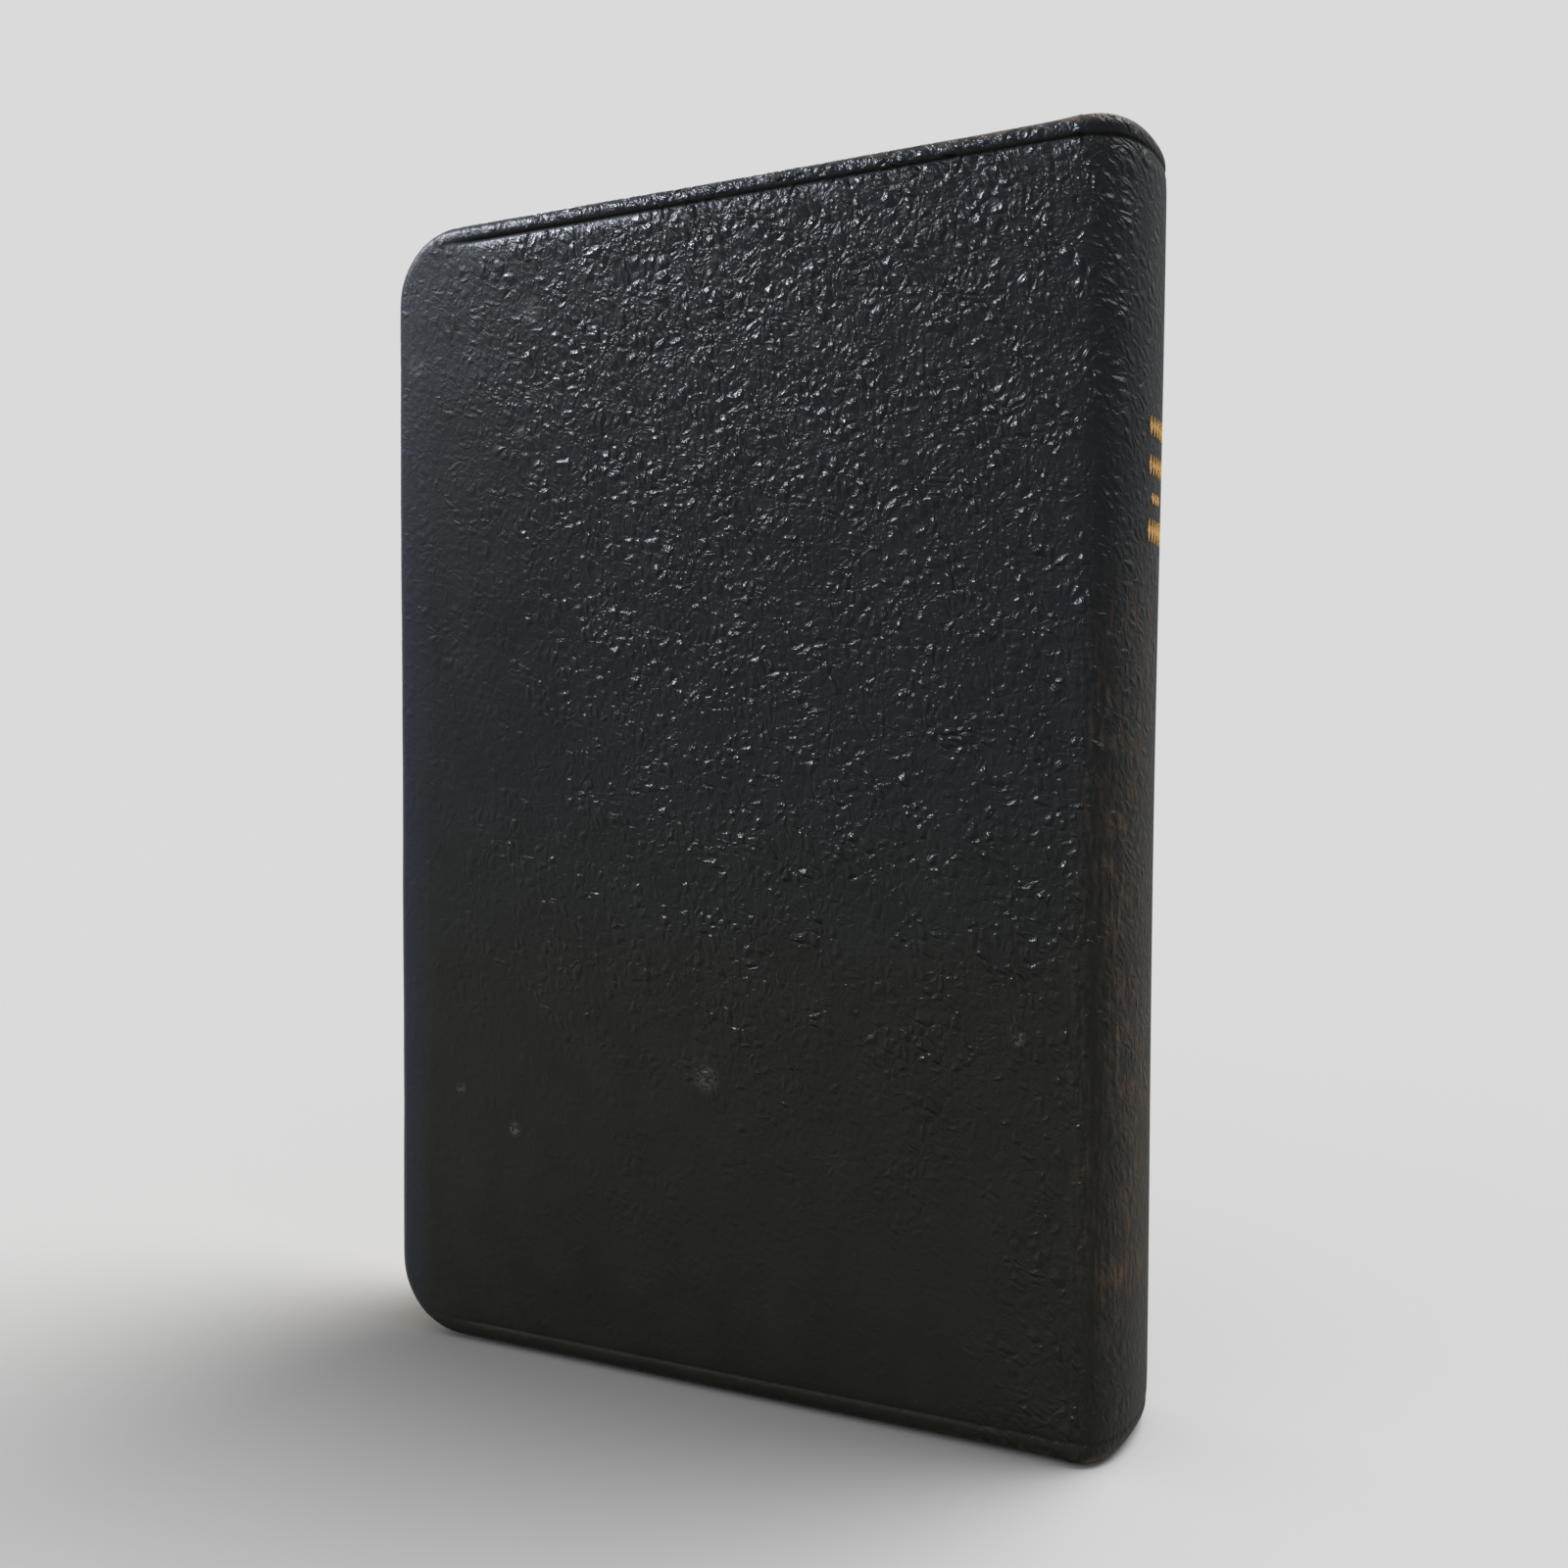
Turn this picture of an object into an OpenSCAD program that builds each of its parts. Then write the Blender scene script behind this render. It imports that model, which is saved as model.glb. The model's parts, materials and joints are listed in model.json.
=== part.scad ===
// Pocket prayer book bound in limp black leather over thin boards, with a rounded hollow back.
// It stands on the tail edges of its covers. +Z runs from tail to head, the spine faces +X and the
// fore-edge -X, the back cover -Y and the front cover +Y. The origin is the middle of the footprint.

/* [Closed book] */
// Height of the covers, tail to head
cover_h = 140; // [110:1:180]
// Width, crown of the spine to fore-edge
book_w = 95; // [75:1:125]
// Thickness over both covers
book_t = 20; // [17:0.5:26]

/* [Covers] */
// Thickness of one cover, leather to turned-in leather
cover_t = 2.2; // [2:0.1:3]
// Thickness of the leather
leather_t = 0.8; // [0.5:0.05:1]
// Thickness of the board inside a cover
board_t = 1; // [0.6:0.05:1.1]
// Radius of the covers' fore-edge corners
corner_r = 9; // [6:0.5:14]
// Width of the flat that each tail edge stands on
tail_flat = 1; // [0.6:0.1:1.4]
// Leather round the edge of a board
edge_wrap = 1; // [0.8:0.1:1.5]
// Width of the leather turned in over a board
turn_in_w = 5; // [3:0.5:9]
// Bare leather between a board and its joint
joint_w = 3; // [2:0.25:5]
// Thickness of the endpaper pasted in a cover, and of a flyleaf
endpaper_t = 0.2; // [0.15:0.05:0.3]

/* [Spine] */
// Rise of the spine's crown over the joints
spine_bow = 6; // [5:0.25:7]
// How far the spine lies inside the covers' faces at the joints
joint_drop = 0.3; // [0.3:0.05:0.6]
// Radius of the rolled caps at head and tail
cap_r = 0.9; // [0.8:0.05:1.2]
// How far the caps stop short of the covers' ends
cap_short = 0.1; // [0.1:0.1:1]
// Thickness of the card inlay behind the spine leather
inlay_t = 0.5; // [0.3:0.05:0.7]
// Air in the hollow back
hollow_gap = 0.4; // [0.3:0.05:0.8]
// Thickness of the paper lining, of the mull and of the tapes
lining_t = 0.3; // [0.2:0.05:0.4]

/* [Tooling] */
// Distance of the blind lines from head and tail
line_inset = 2.4; // [2:0.1:5]
// Radius of the tool that pressed the blind lines
line_r = 0.35; // [0.2:0.05:0.5]
// Depth of the blind lines
line_depth = 0.25; // [0.1:0.05:0.35]
// Depth of the gilt foil in the spine
foil_t = 0.06; // [0.05:0.01:0.1]
// Height of the lowest row of gilt lozenges above the tail
ornament_z = 98; // [70:1:105]
// Height of a large lozenge
lozenge_h = 2.6; // [2:0.1:3]
// Height of a small lozenge
small_lozenge_h = 1.3; // [0.8:0.1:1.8]
// Width of a lozenge
lozenge_w = 1; // [0.8:0.1:1.8]
// Leather between rows of lozenges
row_gap = 1.5; // [0.8:0.1:2.5]

/* [Text block] */
// Number of gatherings, an even number
gatherings = 12; // [8:2:16]
// Cover that shows beyond the pages
square_w = 2.5; // [1.5:0.25:4]
// Radius of the pages' fore-edge corners
page_corner_r = 8; // [4:0.5:12]
// Air between neighbouring gatherings
leaf_gap = 0.1; // [0.06:0.02:0.16]
// Air on each side of a flyleaf
fly_gap = 0.3; // [0.2:0.05:0.4]
// Thickness of a gathering where it leaves its fold
gutter_t = 0.2; // [0.14:0.02:0.24]
// Length over which a gathering swells to its full thickness
gutter_l = 4; // [3.5:0.25:7]
// Depth of the glued folds behind the gutter, at the outermost gathering
fold_depth = 0.8; // [0.6:0.1:2]

/* [Sewing] */
// Width of a sewing tape
tape_w = 8; // [5:0.5:12]
// Distance of the kettle stitches from the ends of the pages
kettle_inset = 9; // [6:0.5:14]
// Radius of the sewing thread
thread_r = 0.14; // [0.1:0.02:0.16]
// Radius of the head and tail bands
band_r = 0.8; // [0.6:0.05:1]

/* [Hidden] */
// Clearance between a leather edge and the joint line, and across a gutter
joint_gap = 0.2;
gutter_gap = 0.25;
// Facets round the rolled edge of a cover
roll_steps = 16;
$fn = 96;

leather_colour = "#1d1f1f";
board_colour = "#8d7a5e";
endpaper_colour = "#e9e2d0";
page_colour = "#efe8d6";
cloth_colour = "#d8cfb8";
gilt_colour = "#c9a24a";
silk_colour = "#efe6c8";

half_t = book_t / 2;
fore_x = -book_w / 2;
joint_x = book_w / 2 - spine_bow;
board_end_x = joint_x - joint_w;
roll_r = cover_t / 2;
// The window of the turned-in leather keeps a small radius where the cover's corner is tight.
pastedown_r = max(corner_r - turn_in_w, 1);
// The rolled edge is sunk a little, so that its flat has the stated width.
roll_sink = roll_r - sqrt(roll_r * roll_r - tail_flat * tail_flat / 4);

// The spine is an arc over the chord between the joints; the layers behind it share its centre.
half_chord = half_t - joint_drop;
spine_r = (half_chord * half_chord + spine_bow * spine_bow) / (2 * spine_bow);
spine_x = book_w / 2 - spine_r;
inlay_r = spine_r - leather_t;
lining_r = inlay_r - inlay_t - hollow_gap;
mull_r = lining_r - lining_t;
tape_r = mull_r - lining_t;
fold_r = tape_r - lining_t;

text_t = book_t - 2 * (cover_t + fly_gap + endpaper_t + fly_gap);
text_h = cover_h - 2 * square_w;
pitch = text_t / gatherings;
leaf_t = pitch - leaf_gap;
fold_face_x = spine_x + sqrt(fold_r * fold_r - text_t * text_t / 4) - fold_depth;
gutter_x = fold_face_x - gutter_gap;
// Every leaf has one width, so the fore-edge is hollow where the back is round.
leaf_w = back_x(0) - (fore_x + square_w);
tape_z = [for (k = [1:3]) square_w + text_h * k / 4];

function leaf_y(i) = (i + 0.5) * pitch - text_t / 2;
function back_x(i) = spine_x + sqrt(fold_r * fold_r - leaf_y(i) * leaf_y(i));
function two_digits(n) = n < 10 ? str("0", n) : str(n);
function gathering_name(i) = str("gathering_", two_digits(i + 1));

// A cover's pieces are drawn lying down, x to the spine, y to the head, z into the book, then stood up.
module stand() {
    rotate([90, 0, 0]) mirror([0, 0, 1]) children();
}

// Outline from the fore-edge to end_x with two round fore-edge corners, inset from the cover's edge.
module fore_outline(inset, r, end_x) {
    low = inset;
    high = cover_h - inset;
    x0 = fore_x + inset;
    translate([x0 + r, low]) square([end_x - x0 - r, high - low]);
    translate([x0, low + r]) square([r + 1, high - low - 2 * r]);
    for (y = [low + r, high - r]) translate([x0 + r, y]) circle(r);
}

// Flat plate of that outline from depth z0.
module fore_plate(inset, r, end_x, z0, thickness) {
    translate([0, 0, z0]) linear_extrude(thickness) fore_outline(inset, r, end_x);
}

// Points of a half round of radius roll_r about (x, roll_r), counter-clockwise from angle a0.
function half_round(x, a0) = [for (k = [0:roll_steps])
    let (a = a0 + 180 * k / roll_steps) [x + roll_r * cos(a), roll_r + roll_r * sin(a)]];

// Section of a cover's rounded edge: a bar from x = 0 that ends in a half round at x = reach.
module edge_section(reach) {
    polygon(concat([[0, 0]], half_round(reach, -90), [[0, cover_t]]));
}

// Section of a cover from tail to head: both edges round, and the tail's cut to the flat it stands on.
module height_section() {
    intersection() {
        polygon(concat(half_round(cover_h - roll_r, -90), half_round(roll_r - roll_sink, 90)));
        translate([0, -1]) square([cover_h + 1, cover_t + 2]);
    }
}

// Whole cover: a plate from tail to head, the fore-edge and the two corners.
module cover_slab() {
    end_x = joint_x - joint_gap;
    bend = corner_r - roll_r;
    x1 = fore_x + corner_r;
    high = cover_h - corner_r;
    translate([x1, 0, 0]) rotate([90, 0, 90]) linear_extrude(end_x - x1) height_section();
    translate([x1, high, 0]) rotate([90, 0, 0]) linear_extrude(high - corner_r)
        mirror([1, 0, 0]) edge_section(bend);
    translate([x1, high, 0]) rotate([0, 0, 90]) rotate_extrude(angle = 90) edge_section(bend);
    translate([x1, corner_r, 0]) rotate([0, 0, 180]) rotate_extrude(angle = 90) edge_section(bend);
}

// Leather of one cover: the slab without its board, the window for the endpaper and the joint's inside.
module cover_leather() {
    color(leather_colour) stand() difference() {
        cover_slab();
        board_plate();
        fore_plate(turn_in_w, pastedown_r, board_end_x, leather_t + board_t, cover_t);
        translate([board_end_x, -1, leather_t]) cube([joint_w + 1, cover_h + 2, cover_t]);
        for (y = [line_inset, cover_h - line_inset]) translate([fore_x + corner_r, y, line_depth - line_r])
            rotate([0, 90, 0]) cylinder(r = line_r, h = book_w);
    }
}

module board_plate() {
    fore_plate(edge_wrap, corner_r - edge_wrap, board_end_x, leather_t, board_t);
}

module board() {
    color(board_colour) stand() board_plate();
}

module pastedown() {
    color(endpaper_colour) stand()
        fore_plate(turn_in_w, pastedown_r, board_end_x, leather_t + board_t, endpaper_t);
}

module flyleaf() {
    color(endpaper_colour) stand()
        fore_plate(square_w, page_corner_r, gutter_x, cover_t + fly_gap, endpaper_t);
}

// Puts a piece of one cover against the back or the front of the book.
module on_back() {
    translate([0, -half_t, 0]) children();
}

module on_front() {
    mirror([0, 1, 0]) on_back() children();
}

// Curved layer of the spine between two radii, cut off at half_w each side and in front of from_x.
module spine_layer(r_out, r_in, half_w, from_x, z0, z1) {
    translate([0, 0, z0]) linear_extrude(z1 - z0) intersection() {
        translate([spine_x, 0]) difference() {
            circle(r_out);
            circle(r_in);
        }
        translate([from_x, -half_w]) square([book_w, 2 * half_w]);
    }
}

// Round cord laid along the spine's curve at height z, limited to half_w each side.
module spine_cord(r_line, r_cord, half_w, from_x, z) {
    intersection() {
        translate([spine_x, 0, z]) rotate_extrude() translate([r_line, 0]) circle(r_cord);
        translate([from_x, -half_w, z - 2 * r_cord]) cube([book_w, 2 * half_w, 4 * r_cord]);
    }
}

// One gilt lozenge pressed into the spine, at angle a off the crown and height z.
module lozenge(a, z, height) {
    intersection() {
        spine_layer(spine_r, spine_r - foil_t, half_t, spine_x, z - height, z + height);
        translate([spine_x, 0, z]) rotate([0, 0, a]) rotate([90, 0, 90]) linear_extrude(2 * spine_r)
            polygon([[-lozenge_w / 2, 0], [0, -height / 2], [lozenge_w / 2, 0], [0, height / 2]]);
    }
}

// A row of lozenges across the crown of the spine, count of them, one pitch apart.
module lozenge_row(count, z, height) {
    step = 1.3 * lozenge_w / spine_r * 180 / PI;
    for (k = [0:count - 1]) lozenge((k - (count - 1) / 2) * step, z, height);
}

// Four rows stand where such a book has its title: three of large lozenges and one of small.
module ornament_rows() {
    small_z = ornament_z + (lozenge_h + small_lozenge_h) / 2 + row_gap;
    third_z = small_z + (lozenge_h + small_lozenge_h) / 2 + row_gap;
    lozenge_row(5, ornament_z, lozenge_h);
    lozenge_row(3, small_z, small_lozenge_h);
    lozenge_row(5, third_z, lozenge_h);
    lozenge_row(5, third_z + lozenge_h + row_gap, lozenge_h);
}

module spine_leather() {
    edge_x = joint_x + joint_gap;
    low = cap_short + cap_r;
    high = cover_h - cap_short - cap_r;
    color(leather_colour) difference() {
        union() {
            spine_layer(spine_r, inlay_r, half_t, edge_x, low, high);
            for (z = [low, high]) spine_cord(spine_r - cap_r, cap_r, half_t, edge_x, z);
        }
        for (z = [line_inset, cover_h - line_inset]) translate([spine_x, 0, z])
            rotate_extrude() translate([spine_r + line_r - line_depth, 0]) circle(line_r);
        ornament_rows();
    }
}

module spine_ornament() {
    color(gilt_colour) ornament_rows();
}

module spine_inlay() {
    color(board_colour) spine_layer(inlay_r, inlay_r - inlay_t, half_chord - cover_t, joint_x, square_w,
        cover_h - square_w);
}

module spine_lining() {
    color(cloth_colour) spine_layer(lining_r, mull_r, text_t / 2, gutter_x, square_w + 1,
        cover_h - square_w - 1);
}

module mull() {
    color(cloth_colour) spine_layer(mull_r, tape_r, text_t / 2, gutter_x, square_w + 4,
        cover_h - square_w - 4);
}

module tape(z) {
    color(cloth_colour) spine_layer(tape_r, fold_r, text_t / 2, gutter_x, z - tape_w / 2, z + tape_w / 2);
}

// Kettle stitches run across every fold near head and tail.
module sewing_thread() {
    for (z = [square_w + kettle_inset, cover_h - square_w - kettle_inset])
        color(silk_colour) spine_cord(fold_r + lining_t / 2, thread_r, text_t / 2 - pitch / 2, gutter_x, z);
}

// The bands sit on the ends of the folds, just inside the curve of the back.
module band(z) {
    color(silk_colour) spine_cord(fold_r - band_r, band_r, text_t / 2 - pitch / 2, gutter_x, z);
}

// Backs of all the gatherings, held by glue and thread.
module sewn_folds() {
    color(page_colour) for (i = [0:gatherings - 1])
        translate([0, 0, square_w]) linear_extrude(text_h) intersection() {
            translate([spine_x, 0]) circle(fold_r);
            translate([fold_face_x, leaf_y(i) - leaf_t / 2]) square([book_w, leaf_t]);
        }
}

// Leaves of gathering i, from the gutter to the fore-edge.
module gathering(i) {
    x0 = back_x(i) - leaf_w;
    full_x = gutter_x - gutter_l;
    color(page_colour) translate([0, leaf_y(i), 0]) intersection() {
        translate([0, 0, square_w]) linear_extrude(text_h) polygon([
            [x0, -leaf_t / 2], [full_x, -leaf_t / 2], [gutter_x, -gutter_t / 2],
            [gutter_x, gutter_t / 2], [full_x, leaf_t / 2], [x0, leaf_t / 2]
        ]);
        translate([x0 - fore_x - square_w, -leaf_t, 0]) stand() linear_extrude(2 * leaf_t)
            fore_outline(square_w, page_corner_r, book_w);
    }
}

spine_leather();
spine_ornament();
spine_inlay();
spine_lining();
mull();
tape(tape_z[0]);  // tape_lower
tape(tape_z[1]);  // tape_middle
tape(tape_z[2]);  // tape_upper
sewing_thread();
band(cover_h - square_w + band_r);  // head_band
band(square_w - band_r);  // tail_band
sewn_folds();
on_back() cover_leather();  // back_cover_leather
on_back() board();  // back_board
on_back() pastedown();  // back_pastedown
on_back() flyleaf();  // back_flyleaf
on_front() cover_leather();  // front_cover_leather
on_front() board();  // front_board
on_front() pastedown();  // front_pastedown
on_front() flyleaf();  // front_flyleaf
for (i = [0:gatherings - 1])
    gathering(i);
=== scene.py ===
"""Looks of a pocket prayer book in limp black leather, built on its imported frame.

The book stands on its tail edges with +Z up the spine, the spine at +X and the back cover facing -Y.
Lengths are in metres unless a name ends in _mm.
"""

import json
import logging
import math
from dataclasses import dataclass, field
from enum import Enum
from typing import Any, Callable, Sequence

import bmesh
import bpy
from mathutils import Matrix, Vector


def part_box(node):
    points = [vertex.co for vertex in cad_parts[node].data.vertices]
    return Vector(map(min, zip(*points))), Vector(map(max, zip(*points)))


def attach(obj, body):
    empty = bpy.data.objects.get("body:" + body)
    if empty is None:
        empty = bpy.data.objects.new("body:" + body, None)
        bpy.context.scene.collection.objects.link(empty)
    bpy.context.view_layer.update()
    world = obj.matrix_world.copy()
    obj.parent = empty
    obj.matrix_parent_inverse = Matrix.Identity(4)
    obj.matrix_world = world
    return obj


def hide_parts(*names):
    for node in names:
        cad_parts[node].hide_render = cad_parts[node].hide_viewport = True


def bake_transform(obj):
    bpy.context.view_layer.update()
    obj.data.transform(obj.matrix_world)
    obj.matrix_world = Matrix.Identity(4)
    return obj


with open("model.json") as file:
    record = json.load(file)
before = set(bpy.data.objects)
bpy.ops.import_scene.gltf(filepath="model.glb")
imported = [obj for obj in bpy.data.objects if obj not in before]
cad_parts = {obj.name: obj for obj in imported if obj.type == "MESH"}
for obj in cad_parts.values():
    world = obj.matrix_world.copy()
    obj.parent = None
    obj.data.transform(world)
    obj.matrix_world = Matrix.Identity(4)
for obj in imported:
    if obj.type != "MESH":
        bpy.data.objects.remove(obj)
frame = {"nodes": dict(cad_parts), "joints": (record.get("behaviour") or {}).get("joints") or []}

LOG = logging.getLogger("prayer_book")
MM = 0.001
RIGHT_ANGLE = math.pi / 2
COLOUR = tuple[float, float, float]


class Side(Enum):
    """The two covers, by the sign of the side of the book that they close."""

    BACK = -1
    FRONT = 1

    @property
    def word(self) -> str:
        """Name of the side in node and body names."""
        return self.name.lower()


# ---------------------------------------------------------------- shader maths


class Value:
    """A shader socket that plain arithmetic works on."""

    def __init__(self, dye: "Dye", socket: Any) -> None:
        """Wraps a socket.

        Args:
            dye: The material that the socket belongs to.
            socket: An output socket of one of its nodes.
        """
        self.dye = dye
        self.socket = socket

    def _do(self, operation: str, *parts: Any) -> "Value":
        """Adds one Math node over the given parts and returns its result."""
        return self.dye.node("ShaderNodeMath", {"operation": operation}, *parts)

    def __add__(self, other: Any) -> "Value":
        """Sum."""
        return self._do("ADD", self, other)

    def __radd__(self, other: Any) -> "Value":
        """Sum with a plain number first."""
        return self._do("ADD", other, self)

    def __sub__(self, other: Any) -> "Value":
        """Difference."""
        return self._do("SUBTRACT", self, other)

    def __rsub__(self, other: Any) -> "Value":
        """Difference from a plain number."""
        return self._do("SUBTRACT", other, self)

    def __mul__(self, other: Any) -> "Value":
        """Product."""
        return self._do("MULTIPLY", self, other)

    def __rmul__(self, other: Any) -> "Value":
        """Product with a plain number first."""
        return self._do("MULTIPLY", other, self)

    def wave(self, pitch: float) -> "Value":
        """Sine wave from -1 to 1 that repeats at a pitch."""
        return self._do("SINE", self * (math.tau / pitch))

    def ridges(self, pitch: float) -> "Value":
        """Sine wave from 0 to 1 that repeats at a pitch."""
        return self.wave(pitch) * 0.5 + 0.5

    def size(self) -> "Value":
        """Absolute value."""
        return self._do("ABSOLUTE", self)

    def least(self, other: Any) -> "Value":
        """The smaller of two values."""
        return self._do("MINIMUM", self, other)

    def most(self, other: Any) -> "Value":
        """The larger of two values."""
        return self._do("MAXIMUM", self, other)

    def rise(self, low: float, high: float) -> "Value":
        """Goes smoothly from 0 at low to 1 at high.

        Args:
            low: Value at which the result is 0.
            high: Value at which the result is 1. It may be the smaller of the two.

        Returns:
            The eased value, clamped to 0 and 1.
        """
        settings = {"interpolation_type": "SMOOTHSTEP"}
        if low > high:
            return 1.0 - self.dye.node("ShaderNodeMapRange", settings, self, high, low, 0.0, 1.0)
        return self.dye.node("ShaderNodeMapRange", settings, self, low, high, 0.0, 1.0)


class Dye:
    """One procedural material, written as expressions."""

    def __init__(self, name: str) -> None:
        """Starts an empty material with a Principled shader.

        Args:
            name: Name of the material.
        """
        self.material = bpy.data.materials.new(name)
        self.material.use_nodes = True
        self.tree = self.material.node_tree
        self.tree.nodes.clear()
        self.shader = self.tree.nodes.new("ShaderNodeBsdfPrincipled")
        output = self.tree.nodes.new("ShaderNodeOutputMaterial")
        self.tree.links.new(self.shader.outputs[0], output.inputs["Surface"])

    def node(self, kind: str, settings: dict[str, Any], *parts: Any, out: Any = 0, **named: Any) -> Value:
        """Adds any node.

        Args:
            kind: The node's type.
            settings: Properties of the node, set before its sockets.
            parts: Values or links for its input sockets, in order.
            out: Index or name of the output wanted.
            named: Values or links for input sockets by name, with _ for a space.

        Returns:
            The wanted output.
        """
        made = self.tree.nodes.new(kind)
        for key, value in settings.items():
            setattr(made, key, value)
        for index, part in enumerate(parts):
            self._plug(made.inputs[index], part)
        for key, part in named.items():
            self._plug(made.inputs[key.replace("_", " ")], part)
        return Value(self, made.outputs[out])

    def _plug(self, socket: Any, part: Any) -> None:
        """Links a Value to a socket, or sets a plain value on it."""
        if isinstance(part, Value):
            self.tree.links.new(part.socket, socket)
        elif part is not None:
            socket.default_value = part

    def mix(self, share: Any, first: Any, second: Any) -> Value:
        """Mixes two colours.

        Args:
            share: How much of the second shows.
            first: Colour or link.
            second: Colour or link.

        Returns:
            The mixed colour.
        """
        made = self.tree.nodes.new("ShaderNodeMix")
        made.data_type = "RGBA"
        self._plug(made.inputs[0], share)
        for index, part in ((6, first), (7, second)):
            self._plug(made.inputs[index], (*part, 1.0) if isinstance(part, tuple) else part)
        return Value(self, made.outputs[2])

    def place(self) -> Value:
        """Position in the object, in metres."""
        return self.node("ShaderNodeTexCoord", {}, out="Object")

    def place_mm(self, attribute: str = "") -> Value:
        """Position in the object, or the piece's own attribute, in millimetres."""
        metres = self.place() if not attribute else self.node(
            "ShaderNodeAttribute", {"attribute_name": attribute}, out="Vector")
        return self.scaled(metres, 1.0 / MM)

    def axis(self, vector: Value, index: int) -> Value:
        """One component of a vector."""
        return self.node("ShaderNodeSeparateXYZ", {}, vector, out=index)

    def scaled(self, vector: Value, scale: float) -> Value:
        """A vector times a number."""
        return self.node("ShaderNodeVectorMath", {"operation": "SCALE"}, vector, Scale=scale)

    def added(self, first: Value, second: Any) -> Value:
        """The sum of two vectors."""
        return self.node("ShaderNodeVectorMath", {"operation": "ADD"}, first, second)

    def noise(self, vector: Value, scale: float, detail: float = 3.0, rough: float = 0.5, out: Any = 0) -> Value:
        """Noise with its middle near 0.5.

        Args:
            vector: Where to read it.
            scale: Features per unit.
            detail: Octaves.
            rough: Weight of the finer octaves.
            out: 0 for a number, "Color" for three.

        Returns:
            The noise.
        """
        return self.node("ShaderNodeTexNoise", {}, Vector=vector, Scale=scale, Detail=detail, Roughness=rough,
                         out=out)

    def stretched(self, vector: Value, scale: Sequence[float]) -> Value:
        """A vector scaled along each axis."""
        return self.node("ShaderNodeMapping", {}, Vector=vector, Scale=scale)

    def cells(self, vector: Value, per_mm: float, feature: str, out: Any = 0) -> Value:
        """Voronoi cells.

        Args:
            vector: Where to read them.
            per_mm: Cells per millimetre.
            feature: The node's feature.
            out: Index or name of the output wanted.

        Returns:
            The wanted output.
        """
        return self.node("ShaderNodeTexVoronoi", {"feature": feature}, Vector=vector, Scale=per_mm, out=out)

    def bump(self, height: Value, distance: float) -> Value:
        """Turns a height into a normal.

        Args:
            height: Height from 0 to 1.
            distance: How far 1 stands up, in metres.

        Returns:
            The normal.
        """
        return self.node("ShaderNodeBump", {}, Height=height, Distance=distance, Strength=1.0)

    def finish(self, **sockets: Any) -> bpy.types.Material:
        """Plugs the shader and returns the material.

        Args:
            sockets: Values or links for the shader's inputs by name, with _ for a space.

        Returns:
            The material.
        """
        for key, part in sockets.items():
            self._plug(self.shader.inputs[key.replace("_", " ")], part)
        return self.material


# ---------------------------------------------------------------- finishes


@dataclass(frozen=True)
class Hide:
    """Where a point lies on the unrolled skin, as shader values in millimetres."""

    place: Value
    up: Value
    from_crown: Value
    from_fore: Value


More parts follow.
